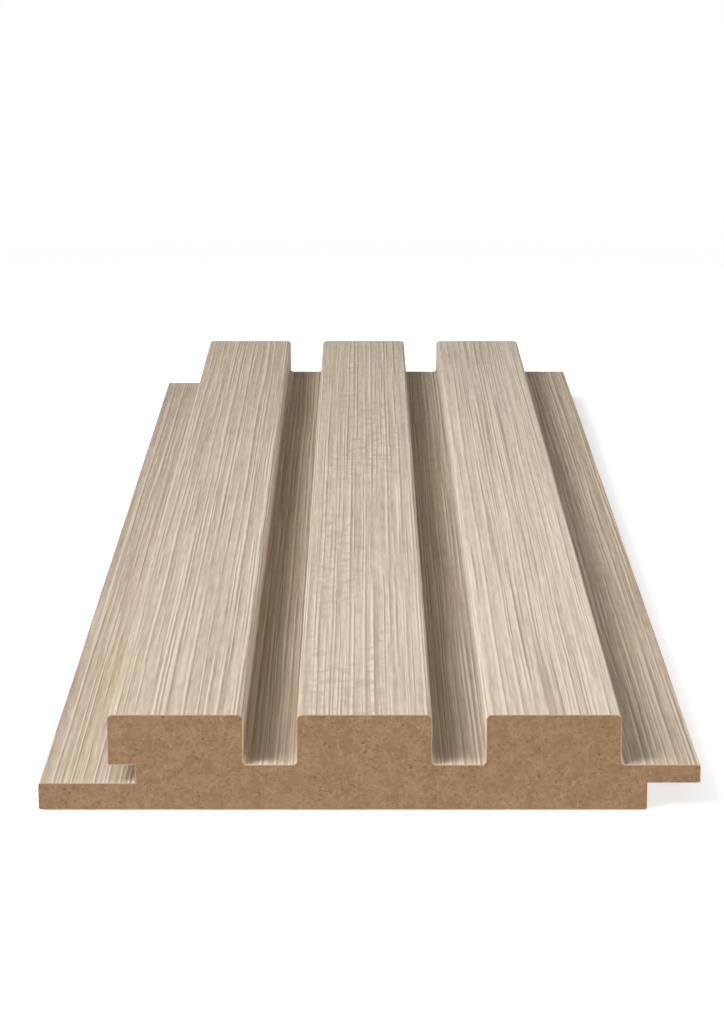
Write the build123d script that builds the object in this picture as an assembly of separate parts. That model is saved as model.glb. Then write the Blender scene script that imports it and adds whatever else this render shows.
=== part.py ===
from build123d import *
import os

# A slatted wall panel milled from one MDF board and wrapped in a wood-look foil, lying on its back.
# X runs across the panel, Y along it and Z out of the decorated face. All sizes are in millimetres.

# Board
panel_length = 400.0     # length the panel is sawn to
board_thickness = 18.0   # from the back to the tops of the slats

# Slats, and the grooves milled between them
slat_count = 3
slat_width = 24.7
groove_width = 9.8
slat_radius = 1.0        # top edges that the foil bends over
root_radius = 0.8        # hollow that the cutter leaves at the foot of a slat

# Lap along one long edge, and the slot that runs in above it
lap_reach = 12.8         # from the edge of the lap to the face of the first slat
lap_thickness = 5.0
slot_depth = 5.0         # how far the slot undercuts the first slat
slot_height = 3.5

# Tongue along the other long edge, made to enter the slot of the next panel
tip_clearance = 0.3      # between the tip of the tongue and the end of the slot
seat_clearance = 0.1     # between the tongue and the lap that it rests over
shoulder_reach = 4.8     # board left under the tongue, past the face of the last slat

# Outer edges
eased_radius = 0.4       # edge of the lap and tip of the tongue
back_radius = 0.5        # both edges of the back

# Levels above the back
groove_floor = lap_thickness + slot_height
tongue_underside = lap_thickness + seat_clearance

# Places across the panel, from the edge of the lap to the tip of the tongue
slat_pitch = slat_width + groove_width
slat_field = slat_count * slat_pitch - groove_width
tongue_reach = groove_width + slot_depth - tip_clearance
panel_width = lap_reach + slat_field + tongue_reach
lap_edge = -panel_width / 2
tongue_tip = panel_width / 2
first_face = lap_edge + lap_reach
last_face = first_face + slat_field
shoulder = last_face + shoulder_reach

# Two places closer than this are the same corner of the section
same_place = 0.001


def mill(left, right, bottom, top):
    # One pass of a cutter along the board, seen as the rectangle that it takes from the section
    with Locations((left, bottom)):
        Rectangle(right - left, top - bottom, align=(Align.MIN, Align.MIN), mode=Mode.SUBTRACT)


def corners(section, level, left=lap_edge, right=tongue_tip):
    # Corners of the section on one level, between two places across the panel
    on_level = section.vertices().filter_by(lambda corner: abs(corner.Y - level) < same_place)
    return on_level.filter_by(lambda corner: left - same_place < corner.X < right + same_place)


with BuildPart() as panel:
    with BuildSketch(Plane.XZ) as section:
        Rectangle(panel_width, board_thickness, align=(Align.CENTER, Align.MIN))

        # Lap edge: the rebate that clears the lap, then the slot beneath the first slat
        mill(lap_edge, first_face, lap_thickness, board_thickness)
        mill(first_face, first_face + slot_depth, lap_thickness, groove_floor)

        # Grooves between the slats
        for gap in range(slat_count - 1):
            groove_left = first_face + slat_width + gap * slat_pitch
            mill(groove_left, groove_left + groove_width, groove_floor, board_thickness)

        # Tongue edge: the rebate above the tongue and the one below it
        mill(last_face, tongue_tip, groove_floor, board_thickness)
        mill(shoulder, tongue_tip, 0, tongue_underside)

        # Rounded tops and hollow feet of the slats
        fillet(corners(section, board_thickness), slat_radius)
        fillet(corners(section, groove_floor, first_face + slat_width, last_face), root_radius)

        # Edges of the lap, the tongue and the back
        fillet(corners(section, lap_thickness, lap_edge, lap_edge), eased_radius)
        fillet(corners(section, groove_floor, tongue_tip), eased_radius)
        fillet(corners(section, tongue_underside, tongue_tip), eased_radius)
        fillet(corners(section, 0), back_radius)

    extrude(amount=panel_length / 2, both=True)

panel.part.label = "wall_panel"
os.makedirs("parts", exist_ok=True)
export_step(panel.part, "parts/wall_panel.step")
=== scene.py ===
import math
import random

import bmesh
import bpy
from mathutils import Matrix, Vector, noise
from mathutils.geometry import delaunay_2d_cdt


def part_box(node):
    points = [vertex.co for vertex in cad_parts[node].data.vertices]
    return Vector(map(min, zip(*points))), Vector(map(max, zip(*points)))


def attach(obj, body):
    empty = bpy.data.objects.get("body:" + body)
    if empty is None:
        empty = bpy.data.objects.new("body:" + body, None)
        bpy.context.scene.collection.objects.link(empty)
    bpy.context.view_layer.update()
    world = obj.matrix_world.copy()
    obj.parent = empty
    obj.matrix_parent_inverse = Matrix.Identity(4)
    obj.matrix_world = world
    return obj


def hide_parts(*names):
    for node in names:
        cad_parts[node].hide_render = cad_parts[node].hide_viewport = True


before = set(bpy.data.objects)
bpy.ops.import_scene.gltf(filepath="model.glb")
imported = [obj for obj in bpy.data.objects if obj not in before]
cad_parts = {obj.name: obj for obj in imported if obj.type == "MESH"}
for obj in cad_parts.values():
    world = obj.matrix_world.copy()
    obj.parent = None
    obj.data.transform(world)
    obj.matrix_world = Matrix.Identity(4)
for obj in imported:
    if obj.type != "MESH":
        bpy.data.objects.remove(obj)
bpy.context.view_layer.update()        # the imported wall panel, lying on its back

mm = 0.001               # sizes below are in millimetres, the scene is in metres
samePlace = 0.001 * mm   # points closer than this are one corner
squareOn = 0.99          # a face of the sawn end looks along the panel by at least this
bakeSpan = (0.01, 0.99)  # the part of a bake map that is used, inside a bare rim
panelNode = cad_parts["wall_panel"]
panelLow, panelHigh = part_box("wall_panel")
halfLength = panelHigh.y
print("frame loaded, panel", [round(side / mm, 1) for side in panelHigh - panelLow], "mm")


# Node helpers, for material trees and geometry trees alike

def addNode(tree, kind, values=None, **settings):
    node = tree.nodes.new(kind)
    for name, value in settings.items():
        setattr(node, name, value)
    for name, value in (values or {}).items():
        plug(tree, value, node.inputs[name])
    return node


def plug(tree, value, socket):
    if isinstance(value, bpy.types.NodeSocket):
        tree.links.new(value, socket)
    else:
        socket.default_value = value


def maths(tree, operation, first, second=0.0):
    return addNode(tree, "ShaderNodeMath", {0: first, 1: second}, operation=operation).outputs[0]


def vector(tree, x=0.0, y=0.0, z=0.0):
    return addNode(tree, "ShaderNodeCombineXYZ", {"X": x, "Y": y, "Z": z}).outputs[0]


def scaleBy(tree, value, factor):
    values = {0: value, "Scale": factor}
    return addNode(tree, "ShaderNodeVectorMath", values, operation="SCALE").outputs[0]


def ramp(tree, value, low, high):      # 0 below low, 1 above high, smooth between
    values = {"Value": value, "From Min": low, "From Max": high}
    node = addNode(tree, "ShaderNodeMapRange", values, interpolation_type="SMOOTHSTEP")
    return node.outputs["Result"]


def blend(tree, share, under, over, mode="MIX"):
    node = addNode(tree, "ShaderNodeMix", data_type="RGBA", blend_type=mode)
    for place, value in ((0, share), (6, under), (7, over)):
        plug(tree, value, node.inputs[place])
    return node.outputs[2]


def coat(tree, mask, under, layer):    # a share of the layer's shade over a colour, where the mask is 1
    share = maths(tree, "MULTIPLY", mask, layer["share"])
    return blend(tree, share, under, paint(*layer["shade"]))


def paint(red, green, blue):           # a colour as it is read off a screen
    def linear(level):                 # the standard curve of screens
        level /= 255
        return level / 12.92 if level <= 0.04045 else ((level + 0.055) / 1.055) ** 2.4
    return (linear(red), linear(green), linear(blue), 1.0)


def newMaterial(name, **surface):
    material = bpy.data.materials.new(name)
    material.use_nodes = True
    shader = material.node_tree.nodes["Principled BSDF"]
    for socket, value in surface.items():
        shader.inputs[socket.replace("_", " ")].default_value = value
    return material, material.node_tree, shader


def between(ends, share):
    return ends[0] + (ends[1] - ends[0]) * share


# Wood grain of the foil, in millimetres across the unrolled foil and along it

grain = {
    "stretch": {"step": 31.0, "run": 4000.0, "shift": 2.4, "size": 6.0},     # closer and wider lines
    "drift": {"step": 4.0, "run": 90.0, "shift": 3.1, "size": 0.55},         # lazy waves in the lines
    "shiver": {"step": 1.3, "run": 12.0, "shift": 6.6, "size": 0.12},        # small ones
    "lines": (                             # three sets of raised lines, with a hollow beside each line, whose darker colour is partly print and partly painted shade
        {"step": 2.8, "run": 120.0, "shift": 18.3, "width": 0.36, "furrow": 0.45, "fade": (-0.20, 0.06)},
        {"step": 1.9, "run": 75.0, "shift": 47.3, "width": 0.29, "furrow": 0.36, "fade": (-0.12, 0.14)},
        {"step": 1.35, "run": 50.0, "shift": 71.2, "width": 0.21, "furrow": 0.26, "fade": (-0.02, 0.16)},
    ),
    "centre": {"seed": 1000.5, "range": (0.15, 0.68)},     # place of a line in its step
    "width": {"seed": 2001.0, "range": (0.6, 1.2)},        # share of its set's width
    "edge": (0.1, 1.0),                    # how a line's side falls away, in widths
    "apart": 7.3,                          # so that neighbours come and go at different places
    "ground": {"step": 1.0, "run": 100.0, "shift": 8.8, "detail": 1.0, "share": 0.58},
    "cloud": {"step": 1.9, "run": 26.0, "shift": 14.1, "detail": 2.0, "share": 0.25},
    "breaks": {"step": 0.5, "run": 8.0, "shift": 23.6, "detail": 1.0, "share": 0.40},
    "fibre": {"step": 0.15, "run": 24.0, "shift": 83.0, "detail": 1.0, "share": 0.4},
    "band": {"step": 4.5, "run": 90.0, "shift": 5.9, "detail": 2.0, "fade": (-0.17, 0.17)},
    "streak": {"step": 0.55, "run": 130.0, "shift": 61.4, "fade": (0.10, 0.25)},
    "patch": {"step": 13.0, "run": 55.0, "shift": 19.2, "fade": (-0.16, 0.06)},   # where flecks gather
    "fleck": {"step": 2.8, "run": 4.0, "shift": 29.5, "detail": 1.5, "fade": (-0.06, 0.20)},
    "streakedBand": (149.0, 161.0),
    "fleckedBand": (95.0, 112.0),
    "fleckSlant": 0.02,                    # how the flecked band wanders across as it runs along
    "coolBands": ((86.0, 174.0), (-9.0, 27.0)),
    "toneBands": (                           # paler and darker bands across the foil, and by how much
        (138.0, 173.0, 0.19),
        (86.0, 122.0, 0.08),
        (-9.0, 27.0, -0.04),
        (177.0, 200.0, -0.06),
    ),
    "bandEdge": 2.5,                       # half the width of a band's soft edge
    "relief": 0.065,                       # depth of the embossing
}


def grainNoise(tree, across, along, part):
    shifted = maths(tree, "ADD", maths(tree, "DIVIDE", across, part["step"]), part["shift"])
    place = vector(tree, shifted, maths(tree, "DIVIDE", along, part["run"]))
    values = {"Vector": place, "Scale": 1.0, "Detail": part.get("detail", 0.0), "Roughness": 0.5}
    field = addNode(tree, "ShaderNodeTexNoise", values, noise_dimensions="2D").outputs[0]
    return maths(tree, "SUBTRACT", field, 0.5)     # swings about zero


def grainMask(tree, across, along, part):
    return ramp(tree, grainNoise(tree, across, along, part), *part["fade"])


def grainLines(tree, across, along):
    # the raised lines and the hollows beside them, which both colour the foil and emboss it; the hollows
    # are coloured darker partly as print and partly as painted shade
    sway = 0.0
    for name in ("shiver", "drift", "stretch"):
        wave = grainNoise(tree, across, along, grain[name])
        sway = maths(tree, "ADD", maths(tree, "MULTIPLY", wave, grain[name]["size"]), sway)
    line = maths(tree, "ADD", across, sway)
    raised = 0.0
    hollow = 0.0
    for part in grain["lines"]:
        light, dark = lineSet(tree, line, along, part)
        raised = maths(tree, "MAXIMUM", light, raised)
        hollow = maths(tree, "MAXIMUM", dark, hollow)
    hollow = maths(tree, "MULTIPLY", hollow, maths(tree, "SUBTRACT", 1.0, raised))
    return line, raised, hollow


def lineSet(tree, place, along, part):
    # one line in each step across, at its own place, of its own width, coming and going along the foil
    stepped = maths(tree, "ADD", maths(tree, "DIVIDE", place, part["step"]), part["shift"])
    cell = maths(tree, "FLOOR", stepped)

    def chance(name):                  # drawn once for each line
        low, high = grain[name]["range"]
        seed = maths(tree, "ADD", cell, grain[name]["seed"])
        drawn = addNode(tree, "ShaderNodeTexWhiteNoise", {"W": seed}, noise_dimensions="1D")
        return maths(tree, "ADD", maths(tree, "MULTIPLY", drawn.outputs["Value"], high - low), low)

    centre = maths(tree, "ADD", cell, chance("centre"))
    away = maths(tree, "MULTIPLY", maths(tree, "SUBTRACT", stepped, centre), part["step"])
    width = maths(tree, "MULTIPLY", chance("width"), part["width"])
    spaced = maths(tree, "MULTIPLY", cell, grain["apart"] * part["step"])
    shown = grainMask(tree, spaced, along, part)

    def stroke(offset):
        gap = maths(tree, "ABSOLUTE", maths(tree, "SUBTRACT", away, offset))
        gap = maths(tree, "DIVIDE", gap, width)
        full = maths(tree, "SUBTRACT", 1.0, ramp(tree, gap, *grain["edge"]))
        return maths(tree, "MULTIPLY", full, shown)

    return stroke(0.0), stroke(part["furrow"])


def bandMask(tree, across, low, high):
    soft = grain["bandEdge"]
    inside = maths(tree, "SUBTRACT", 1.0, ramp(tree, across, high - soft, high + soft))
    return maths(tree, "MULTIPLY", ramp(tree, across, low - soft, low + soft), inside)


# Section of the panel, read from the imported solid

def readSection(node):
    # corners of the near sawn end in order: up the lap, over the slats to the tongue, along the back
    solid = bmesh.new()
    solid.from_mesh(node.data)
    bmesh.ops.remove_doubles(solid, verts=solid.verts, dist=samePlace)
    sawn = {face for face in solid.faces if -face.normal.y > squareOn}
    rim = [edge for edge in solid.edges if sum(face in sawn for face in edge.link_faces) == 1]
    beside = {}
    for edge in rim:
        first, second = edge.verts
        beside.setdefault(first, []).append(second)
        beside.setdefault(second, []).append(first)
    start = min(beside, key=lambda corner: (round(corner.co.x / samePlace), corner.co.z))
    ring = [start, max(beside[start], key=lambda corner: corner.co.z)]
    while len(ring) < len(beside):
        ring.append(next(corner for corner in beside[ring[-1]] if corner is not ring[-2]))
    section = [(corner.co.x, corner.co.z) for corner in ring]
    solid.free()
    return section


def splitSection(section):
    # the foil runs from the lap's lower edge to the tongue's lower edge, and the rest is bare board
    tip = max(x for x, z in section)
    last = max(place for place, (x, z) in enumerate(section) if tip - x < samePlace)
    return section[:last + 1], section[last:] + section[:1]


def spread(run, step):
    # the same run with points about one step apart
    dense = [run[0]]
    for (x0, z0), (x1, z1) in zip(run, run[1:]):
        parts = max(1, round(math.hypot(x1 - x0, z1 - z0) / step))
        for part in range(1, parts + 1):
            dense.append((x0 + (x1 - x0) * part / parts, z0 + (z1 - z0) * part / parts))
    return dense


def inset(run, depth, sharpest=0.3):
    # the run moved into the board, with its corners mitred and a limit on the sharpest
    moved = []
    for place, (x, z) in enumerate(run):
        ahead = Vector(run[min(place + 1, len(run) - 1)]) - Vector(run[min(place, len(run) - 2)])
        behind = Vector(run[max(place, 1)]) - Vector(run[max(place - 1, 0)])
        sides = [Vector((way.y, -way.x)).normalized() for way in (ahead, behind)]
        middle = (sides[0] + sides[1]).normalized()
        reach = depth / max(sharpest, middle.dot(sides[0]))
        moved.append((x + middle.x * reach, z + middle.y * reach))
    return moved


section = readSection(panelNode)
foilRun, bareRun = splitSection(section)
print("section read,", len(section), "corners")


# Decor foil: the section's run carried along the panel by geometry nodes, with the grain embossed

foil = {
    "thickness": 0.18 * mm,
    "glue": 0.02 * mm,                     # gap between foil and board
    "step": 0.075 * mm,                    # columns of the mesh, across the grain
    "rows": 32,                            # rows of the mesh, along it
    "crease": 0.6,                         # edges that turn more than this, in radians, stay sharp
    "gloss": {"Roughness": 0.62, "Specular_IOR_Level": 0.04},
    "shades": ((154, 134, 112), (198, 182, 162), (232, 220, 203)),           # print between the lines
    "raised": {"share": 0.62, "shade": (238, 227, 210)},
    # dark lines in the hollows: partly print, partly painted shade on one side of each raised line
    "hollow": {"share": 0.54, "shade": (152, 131, 110)},
    "streak": {"share": 0.6, "shade": (152, 132, 108)},
    "fleck": {"share": 0.45, "shade": (178, 160, 136)},
    "bandTints": ((1.0, 0.982, 0.972, 1.0), (0.990, 0.985, 0.950, 1.0)),
    "coolTint": (0.985, 1.0, 1.02, 1.0),
    "bump": {"Strength": 0.5, "Distance": 0.05 * mm},
    "paper": {"Roughness": 0.8, "Base_Color": paint(172, 144, 113)},         # glued side and edges
    "sheetStrip": (0.01, 0.94),            # places of the sheet and its glued side in the bake map
    "backStrip": (0.96, 0.99),
}


def foilMaterial():
    material, tree, shader = newMaterial("strawAshFoil", **foil["gloss"])
    place = addNode(tree, "ShaderNodeUVMap", uv_map="foilPlace").outputs[0]
    split = addNode(tree, "ShaderNodeSeparateXYZ", {0: place})
    across = maths(tree, "DIVIDE", split.outputs["X"], mm)
    along = maths(tree, "DIVIDE", split.outputs["Y"], mm)
    line, raised, hollow = grainLines(tree, across, along)

    prints = {}
    tone = 0.5                         # print between the lines, from dark at 0 to pale at 1
    for name in ("ground", "cloud", "breaks", "fibre"):
        prints[name] = grainNoise(tree, line, along, grain[name])
        tone = maths(tree, "ADD", maths(tree, "MULTIPLY", prints[name], grain[name]["share"]), tone)
    for low, high, lift in grain["toneBands"]:
        lifted = maths(tree, "MULTIPLY", bandMask(tree, across, low, high), lift)
        tone = maths(tree, "ADD", lifted, tone)
    shades = addNode(tree, "ShaderNodeValToRGB", {0: tone})
    stops = shades.color_ramp.elements
    stops.new(0.5)
    for stop, shade in zip(stops, foil["shades"]):
        stop.color = paint(*shade)

    colour = coat(tree, raised, shades.outputs["Color"], foil["raised"])
    # painted shade, with the print's dark lines, in the hollows beside the raised lines
    colour = coat(tree, hollow, colour, foil["hollow"])
    tint = blend(tree, grainMask(tree, across, along, grain["band"]), *foil["bandTints"])
    colour = blend(tree, 1.0, colour, tint, "MULTIPLY")
    for low, high in grain["coolBands"]:
        colour = blend(tree, bandMask(tree, across, low, high), colour, foil["coolTint"], "MULTIPLY")

    streak = grainMask(tree, line, along, grain["streak"])
    streak = maths(tree, "MULTIPLY", streak, bandMask(tree, across, *grain["streakedBand"]))
    colour = coat(tree, streak, colour, foil["streak"])
    fleck = grainMask(tree, across, along, grain["fleck"])
    fleck = maths(tree, "MULTIPLY", fleck, grainMask(tree, across, along, grain["patch"]))
    slanted = maths(tree, "SUBTRACT", across, maths(tree, "MULTIPLY", along, grain["fleckSlant"]))
    fleck = maths(tree, "MULTIPLY", fleck, bandMask(tree, slanted, *grain["fleckedBand"]))
    colour = coat(tree, fleck, colour, foil["fleck"])

    tree.links.new(colour, shader.inputs["Base Color"])
    bump = addNode(tree, "ShaderNodeBump", {**foil["bump"], "Height": prints["fibre"]})
    tree.links.new(bump.outputs[0], shader.inputs["Normal"])
    return material


def runCurve(name, run):
    curve = bpy.data.curves.new(name, "CURVE")
    curve.dimensions = "3D"
    spline = curve.splines.new("POLY")
    spline.points.add(len(run) - 1)
    for point, (x, z) in zip(spline.points, run):
        point.co = (x, 0.0, z, 1.0)
    guide = bpy.data.objects.new(name, curve)
    bpy.context.scene.collection.objects.link(guide)
    return guide


def foilTree(material):
    tree = bpy.data.node_groups.new("foilWrap", "GeometryNodeTree")

    def addSocket(name, kind, way="INPUT"):
        return tree.interface.new_socket(name, in_out=way, socket_type="NodeSocket" + kind).identifier

    addSocket("Run", "Geometry")
    inputs = (("Columns", "Int"), ("Rows", "Int"), ("Length", "Float"), ("Relief", "Float"))
    sockets = {name: addSocket(name, kind) for name, kind in inputs}
    addSocket("Foil", "Geometry", "OUTPUT")
    given = addNode(tree, "NodeGroupInput").outputs

    # a flat sheet, one column for each point of the run
    values = {"Vertices X": given["Columns"], "Vertices Y": given["Rows"]}
    sheet = addNode(tree, "GeometryNodeMeshGrid", values).outputs["Mesh"]
    index = addNode(tree, "GeometryNodeInputIndex").outputs[0]
    column = maths(tree, "FLOOR", maths(tree, "DIVIDE", index, given["Rows"]))
    row = maths(tree, "MODULO", index, given["Rows"])
    share = maths(tree, "DIVIDE", row, maths(tree, "SUBTRACT", given["Rows"], 1.0))
    along = maths(tree, "MULTIPLY", maths(tree, "SUBTRACT", share, 0.5), given["Length"])

    def onRun(kind, field):            # a value of the run's own point for each column
        values = {"Geometry": given["Run"], "Value": field, "Index": column}
        node = addNode(tree, "GeometryNodeSampleIndex", values, data_type=kind, domain="POINT")
        return node.outputs[0]

    # wrapped over the section, with its place on the unrolled foil kept
    corner = onRun("FLOAT_VECTOR", addNode(tree, "GeometryNodeInputPosition").outputs[0])
    across = onRun("FLOAT", addNode(tree, "GeometryNodeSplineParameter").outputs["Length"])
    corner = addNode(tree, "ShaderNodeSeparateXYZ", {0: corner})
    place = vector(tree, corner.outputs["X"], along, corner.outputs["Z"])
    wrapped = addNode(tree, "GeometryNodeSetPosition", {"Geometry": sheet, "Position": place})
    values = {0: vector(tree, across, along)}
    flat = addNode(tree, "GeometryNodeFieldOnDomain", values, data_type="FLOAT_VECTOR", domain="POINT")
    values = {"Geometry": wrapped.outputs[0], "Name": "foilPlace", "Value": flat.outputs[0]}
    kept = addNode(tree, "GeometryNodeStoreNamedAttribute", values, data_type="FLOAT2", domain="CORNER")

    # pressed in from the surface: nothing on a raised line, half the relief beside it, all in a hollow
    grainPlace = [maths(tree, "DIVIDE", way, mm) for way in (across, along)]
    _, raised, hollow = grainLines(tree, *grainPlace)
    sunk = maths(tree, "SUBTRACT", maths(tree, "SUBTRACT", raised, hollow), 1.0)
    sunk = maths(tree, "MULTIPLY", maths(tree, "MULTIPLY", sunk, 0.5), given["Relief"])
    push = scaleBy(tree, addNode(tree, "GeometryNodeInputNormal").outputs[0], sunk)
    embossed = addNode(tree, "GeometryNodeSetPosition", {"Geometry": kept.outputs[0], "Offset": push})
    whole = addNode(tree, "GeometryNodeRealizeInstances", {"Geometry": embossed.outputs[0]})
    values = {"Geometry": whole.outputs[0], "Material": material}
    worn = addNode(tree, "GeometryNodeSetMaterial", values)
    tree.links.new(worn.outputs[0], addNode(tree, "NodeGroupOutput").inputs[0])
    return tree, sockets


def closeSkin(mesh, inner, columns, rows):
    # gives the embossed sheet a back and edges, so that it is a closed skin
    skin = bmesh.new()
    skin.from_mesh(mesh)
    skin.verts.ensure_lookup_table()
    bake = skin.loops.layers.uv.new("OFBake")
    uv = skin.loops.layers.uv["foilPlace"]
    outer = [[skin.verts[column * rows + row] for row in range(rows)] for column in range(columns)]
    placeOf = {}
    for face in skin.faces:
        for loop in face.loops:
            placeOf[loop.vert] = loop[uv].uv.copy()
    back = []
    for (x, z), line in zip(inner, outer):
        near, far = [skin.verts.new((x, side * halfLength, z)) for side in (-1, 1)]
        placeOf[near] = placeOf[line[0]]
        placeOf[far] = placeOf[line[-1]]
        back.append([near, far])
    corners = []
    for (nearA, farA), (nearB, farB), lineA, lineB in zip(back, back[1:], outer, outer[1:]):
        corners.append((lineA[0], nearA, nearB, lineB[0]))
        corners.append((lineB[-1], farB, farA, lineA[-1]))
        corners.append((nearA, farA, farB, nearB))
    corners.append(outer[0] + back[0][::-1])
    corners.append(outer[-1][::-1] + back[-1])
    for corner in corners:
        face = skin.faces.new(corner)
        face.smooth = False
        face.material_index = 1
        for loop in face.loops:
            loop[uv].uv = placeOf[loop.vert]
    bmesh.ops.recalc_face_normals(skin, faces=skin.faces)
    for edge in skin.edges:
        edge.smooth = edge.calc_face_angle() < foil["crease"]
    width = max(place.x for place in placeOf.values())
    for face in skin.faces:            # baked as the unrolled sheet, its glued side in a strip beside it
        strip = foil["backStrip"] if face.material_index else foil["sheetStrip"]
        for loop in face.loops:
            across = loop[uv].uv.x / width
            along = loop[uv].uv.y / (2 * halfLength) + 0.5
            loop[bake].uv = (between(strip, across), between(bakeSpan, along))
    skin.to_mesh(mesh)
    skin.free()


def makeFoil():
    dense = spread(foilRun, foil["step"])
    material = foilMaterial()
    guide = runCurve("foilRun", dense)
    tree, sockets = foilTree(material)
    wrap = guide.modifiers.new("wrap", "NODES")
    wrap.node_group = tree
    sizes = {
        "Columns": len(dense),
        "Rows": foil["rows"],
        "Length": 2 * halfLength,
        "Relief": grain["relief"] * mm,
    }
    for name, value in sizes.items():
        wrap[sockets[name]] = value
    depsgraph = bpy.context.evaluated_depsgraph_get()
    mesh = bpy.data.meshes.new_from_object(guide.evaluated_get(depsgraph))
    bpy.data.objects.remove(guide)
    mesh.materials.clear()
    mesh.materials.append(material)
    mesh.materials.append(newMaterial("foilPaper", **foil["paper"])[0])
    for face in mesh.polygons:
        face.use_smooth = True
        face.material_index = 0
    closeSkin(mesh, inset(dense, foil["thickness"]), len(dense), foil["rows"])
    piece = bpy.data.objects.new("decor_foil", mesh)
    bpy.context.scene.collection.objects.link(piece)
    print("foil wrapped,", len(dense), "columns,", len(mesh.polygons), "faces")
    return piece


# MDF board under the foil, with its two sawn ends

board = {
    "step": 0.45 * mm,                     # mesh of the sawn ends
    "jitter": 0.3,                         # how far its points wander, in steps
    "seed": 7,
    "weld": 1e-7,
    "rough": 0.07 * mm,                    # depth of the pits in the cut
    "grit": 0.9 * mm,                      # size of the pits
    "gloss": {"Roughness": 0.88, "Specular_IOR_Level": 0.2},
    "cloud": {"scale": 0.30, "detail": 2.0, "shift": 3.0, "fade": (0.34, 0.66)},
    "cloudShades": ((140, 111, 82), (150, 121, 91)),
    "wool": {"scale": 1.3, "detail": 4.0, "shift": 8.0, "distortion": 0.3},
    # painted shade between the tufts, where the wool that also raises the bump is low
    "woolGapPaintedShade": {"fade": (0.30, 0.52), "shade": (136, 107, 79)},
    "woolTop": {"fade": (0.50, 0.74), "share": 0.6, "shade": (165, 135, 103)},
    "speck": {"scale": 2.1, "detail": 1.0, "shift": 17.0, "distortion": 0.4, "fade": (0.63, 0.73)},
    # dark specks: partly dark bits of the fibre, partly painted shade of small pits
    "speckAndPitShade": {"share": 0.7, "shade": (104, 75, 51)},
    "threads": (                           # pale ones and dark ones
        {"scale": 0.6, "shift": 31.0, "distortion": 0.2, "share": 0.36, "shade": (190, 161, 128)},
        {"scale": 0.65, "shift": 57.0, "distortion": 0.2, "share": 0.5, "shade": (104, 75, 51)},
    ),
    "threadEdge": (0.004, 0.022),          # how a thread falls away from its contour
    "threadSpots": {"scale": 0.55, "shift": 9.0, "fade": (0.56, 0.68)},
    "bump": {"Strength": 0.4, "Distance": 0.12 * mm},
    "hidden": 0.12,                        # share of the bake map that the faces under the foil get
    "nearStrip": (0.01, 0.16),             # places of the ends and the faces round them in the map
    "farStrip": (0.18, 0.33),
    "sideStrip": (0.35, 0.99),
}


def boardMaterial():
    material, tree, shader = newMaterial("bareMdf", **board["gloss"])
    place = scaleBy(tree, addNode(tree, "ShaderNodeTexCoord").outputs["Object"], 1 / mm)

    def woolNoise(part, moreShift=0.0):
        shift = part["shift"] + moreShift
        moved = addNode(tree, "ShaderNodeVectorMath", {0: place, 1: (shift, shift, shift)})
        values = {
            "Vector": moved.outputs[0],
            "Scale": part["scale"],
            "Detail": part.get("detail", 0.0),
            "Distortion": part.get("distortion", 0.0),
        }
        return addNode(tree, "ShaderNodeTexNoise", values).outputs[0]

    def threads(part):                 # short curved fibres, along a contour of one noise
        contour = maths(tree, "ABSOLUTE", maths(tree, "SUBTRACT", woolNoise(part), 0.5))
        thin = maths(tree, "SUBTRACT", 1.0, ramp(tree, contour, *board["threadEdge"]))
        spots = woolNoise(board["threadSpots"], part["shift"])
        return maths(tree, "MULTIPLY", thin, ramp(tree, spots, *board["threadSpots"]["fade"]))

    cloud = ramp(tree, woolNoise(board["cloud"]), *board["cloud"]["fade"])
    wool = woolNoise(board["wool"])
    woolGapPaintedShade = ramp(tree, wool, *board["woolGapPaintedShade"]["fade"])
    woolTop = ramp(tree, wool, *board["woolTop"]["fade"])
    speck = ramp(tree, woolNoise(board["speck"]), *board["speck"]["fade"])
    dark, pale = [paint(*shade) for shade in board["cloudShades"]]
    colour = blend(tree, cloud, dark, pale)
    # painted shade in the gaps between the tufts
    colour = blend(tree, woolGapPaintedShade, paint(*board["woolGapPaintedShade"]["shade"]), colour)
    colour = coat(tree, woolTop, colour, board["woolTop"])
    # dark specks, partly painted shade of small pits
    colour = coat(tree, speck, colour, board["speckAndPitShade"])
    for part in board["threads"]:
        colour = coat(tree, threads(part), colour, part)
    tree.links.new(colour, shader.inputs["Base Color"])
    bump = addNode(tree, "ShaderNodeBump", {**board["bump"], "Height": wool})
    tree.links.new(bump.outputs[0], shader.inputs["Normal"])
    return material


def sawnFace(ring):
    # triangles over the section, fine enough to carry the roughness of the cut
    points = [Vector(corner) for corner in ring]
    edges = [(place, (place + 1) % len(ring)) for place in range(len(ring))]
    outline = [list(range(len(ring)))]
    lowX = min(x for x, z in ring)
    highX = max(x for x, z in ring)
    highZ = max(z for x, z in ring)
    draw = random.Random(board["seed"])
    step = board["step"]
    for column in range(int((highX - lowX) / step)):
        for row in range(int(highZ / step)):
            nudge = [draw.uniform(-board["jitter"], board["jitter"]) * step for axis in range(2)]
            x = lowX + (column + 0.5) * step + nudge[0]
            z = (row + 0.5) * step + nudge[1]
            points.append(Vector((x, z)))
    insideOnly = 1                     # leaves out what lies outside the outline
    places, _, faces, origins, _, _ = delaunay_2d_cdt(points, edges, outline, insideOnly, board["weld"])
    return places, faces, origins


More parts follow.
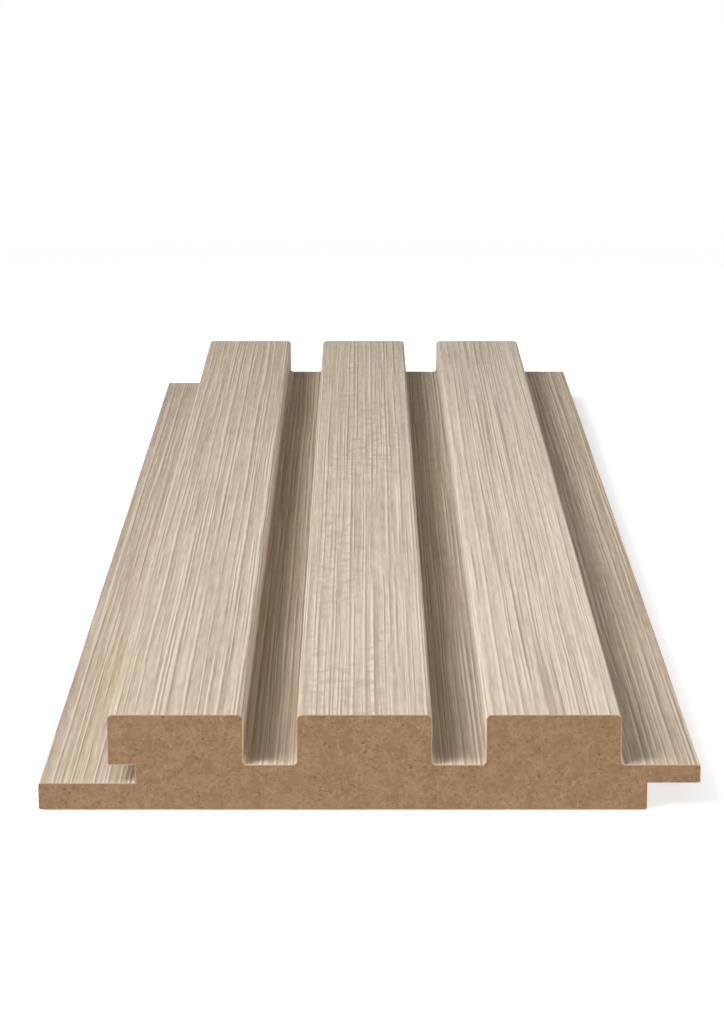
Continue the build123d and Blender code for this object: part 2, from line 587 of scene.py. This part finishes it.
def layBoard(solid, ring, cornerOf, ends, count):
    # baked with the sawn ends large, and the back and sides in order round the section
    bake = solid.loops.layers.uv.new("OFBake")
    rounds = [0.0]
    for place, (x, z) in enumerate(ring):
        nextX, nextZ = ring[(place + 1) % len(ring)]
        share = board["hidden"] if place < len(foilRun) - 1 else 1.0
        rounds.append(rounds[-1] + share * math.hypot(nextX - x, nextZ - z))
    for number, face in enumerate(solid.faces):
        place = number - ends          # the face's number round the section, below 0 on a sawn end
        for loop in face.loops:
            x, y, z = loop.vert.co
            if place < 0:
                across = (x - panelLow.x) / (panelHigh.x - panelLow.x)
                up = between(board["farStrip"] if y > 0 else board["nearStrip"], z / panelHigh.z)
            else:
                across = y / (2 * halfLength) + 0.5
                reached = rounds[place if loop.vert.index % count == cornerOf[place] else place + 1]
                up = between(board["sideStrip"], reached / rounds[-1])
            loop[bake].uv = (between(bakeSpan, across), up)


def makeBoard():
    material = boardMaterial()
    ring = inset(foilRun, foil["thickness"] + foil["glue"]) + bareRun
    places, faces, origins = sawnFace(ring)
    count = len(places)
    cornerOf = {old: new for new, olds in enumerate(origins) for old in olds if old < len(ring)}
    onRim = set(cornerOf.values())
    vertices = []
    for side in (-1, 1):
        for number, (x, z) in enumerate(places):
            pit = 0.0                  # the rim stays on the plane of the cut
            if number not in onRim:
                pit = 0.5 + 0.5 * noise.noise(Vector((x, side, z)) / board["grit"])
            vertices.append((x, side * (halfLength - board["rough"] * pit), z))
    polygons = [list(face) for face in faces]
    polygons += [[number + count for number in face[::-1]] for face in faces]
    for place in range(len(ring)):
        here = cornerOf[place]
        following = cornerOf[(place + 1) % len(ring)]
        polygons.append([here, here + count, following + count, following])
    mesh = bpy.data.meshes.new("mdf_board")
    mesh.from_pydata(vertices, [], polygons)
    solid = bmesh.new()
    solid.from_mesh(mesh)
    bmesh.ops.recalc_face_normals(solid, faces=solid.faces)
    layBoard(solid, ring, cornerOf, 2 * len(faces), count)
    solid.to_mesh(mesh)
    solid.free()
    mesh.materials.append(material)
    piece = bpy.data.objects.new("mdf_board", mesh)
    bpy.context.scene.collection.objects.link(piece)
    print("board made,", len(mesh.polygons), "faces")
    return piece


foilPiece = makeFoil()
boardPiece = makeBoard()
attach(boardPiece, "root")
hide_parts("wall_panel")
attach(foilPiece, "root")


# Studio, in metres: pale floor, soft lamps left, right, above and low behind, camera at the sawn end

studio = {
    "floor": 12.0,
    "drop": 0.0003,                        # floor below the panel's back
    "paper": {"Roughness": 1.0, "Specular_IOR_Level": 0.0, "Base_Color": (0.9, 0.9, 0.9, 1.0)},
    "lift": 0.6,                           # whitens the floor near the panel and keeps the shadow
    "fade": (0.30, 0.60),                  # where the floor turns plain white
    "world": 0.02,                         # light from all round
    "lamps": {
        "key": {
            "at": (-1.05, -0.85, 1.26), "aim": (0.0, -0.14, 0.0),
            "size": (1.2, 1.0), "power": 3.65, "spread": 45,
        },
        "side": {
            "at": (-1.0, -0.50, 0.50), "aim": (0.0, -0.2, 0.0),
            "size": (0.8, 0.4), "power": 1.55, "spread": 90,
        },
        "right": {
            "at": (1.20, -0.75, 0.55), "aim": (0.0, -0.22, 0.0),
            "size": (0.9, 0.5), "power": 1.08, "spread": 50,
        },
        "top": {
            "at": (0.20, -0.75, 1.50), "aim": (0.0, -0.18, 0.0),
            "size": (1.2, 1.0), "power": 0.36, "spread": 45,
        },
        "back": {
            "at": (0.0, 1.1, 0.004), "aim": (0.0, 0.2, 0.004),
            "size": (0.03, 0.007), "power": 0.45, "spread": 60,
        },
    },
    "cameraAt": (-0.001312, -0.749609, 0.181389),
    "pitch": 12.8733,                      # degrees below level
    "lens": 110.761,
    "sensor": 36.0,
    "clipStart": 0.01,
}


def lightPath(tree):
    # 1 for rays that show the backdrop itself, 0 for rays that only carry light
    rays = addNode(tree, "ShaderNodeLightPath").outputs
    seen = maths(tree, "ADD", rays["Is Camera Ray"], rays["Is Glossy Ray"])
    seen = maths(tree, "ADD", seen, rays["Is Transmission Ray"])
    return maths(tree, "MINIMUM", seen, 1.0)


def makeFloor():
    half = studio["floor"] / 2
    mesh = bpy.data.meshes.new("studioFloor")
    outline = ((-half, -half), (half, -half), (half, half), (-half, half))
    mesh.from_pydata([(x, y, -studio["drop"]) for x, y in outline], [], [(0, 1, 2, 3)])
    material, tree, shader = newMaterial("studioPaper", **studio["paper"])
    place = addNode(tree, "ShaderNodeTexCoord").outputs["Object"]
    reach = addNode(tree, "ShaderNodeVectorMath", {0: place}, operation="LENGTH").outputs["Value"]
    seen = lightPath(tree)
    glow = maths(tree, "MULTIPLY", seen, studio["lift"])
    lift = addNode(tree, "ShaderNodeEmission", {"Strength": glow})
    near = addNode(tree, "ShaderNodeAddShader", {0: shader.outputs[0], 1: lift.outputs[0]})
    far = maths(tree, "MULTIPLY", ramp(tree, reach, *studio["fade"]), seen)
    white = addNode(tree, "ShaderNodeEmission", {"Strength": 1.0})
    paper = addNode(tree, "ShaderNodeMixShader", {0: far, 1: near.outputs[0], 2: white.outputs[0]})
    tree.links.new(paper.outputs[0], tree.nodes["Material Output"].inputs["Surface"])
    mesh.materials.append(material)
    floor = bpy.data.objects.new("studioFloor", mesh)
    bpy.context.scene.collection.objects.link(floor)


def makeWorld():
    world = bpy.data.worlds.new("studioWorld")
    world.use_nodes = True
    tree = world.node_tree
    strength = maths(tree, "MULTIPLY", lightPath(tree), 1.0 - studio["world"])
    strength = maths(tree, "ADD", strength, studio["world"])
    back = tree.nodes["Background"]
    back.inputs["Color"].default_value = (1, 1, 1, 1)
    tree.links.new(strength, back.inputs["Strength"])
    bpy.context.scene.world = world


def makeLamp(name, lamp):
    data = bpy.data.lights.new(name, "AREA")
    data.shape = "RECTANGLE"
    data.size, data.size_y = lamp["size"]
    data.energy = lamp["power"]
    data.spread = math.radians(lamp["spread"])
    light = bpy.data.objects.new(name, data)
    light.location = lamp["at"]
    beam = Vector(lamp["aim"]) - Vector(lamp["at"])
    light.rotation_euler = beam.to_track_quat("-Z", "Y").to_euler()
    bpy.context.scene.collection.objects.link(light)


def makeCamera():
    data = bpy.data.cameras.new("camera")
    data.sensor_fit = "VERTICAL"
    data.sensor_height = studio["sensor"]
    data.lens = studio["lens"]
    data.clip_start = studio["clipStart"]
    camera = bpy.data.objects.new("camera", data)
    camera.location = studio["cameraAt"]
    camera.rotation_euler = (math.radians(90 - studio["pitch"]), 0.0, 0.0)
    bpy.context.scene.collection.objects.link(camera)
    bpy.context.scene.camera = camera


makeFloor()
makeWorld()
for lampName, lamp in studio["lamps"].items():
    makeLamp(lampName, lamp)
makeCamera()
bpy.context.scene.view_settings.view_transform = "Standard"
print("studio set")
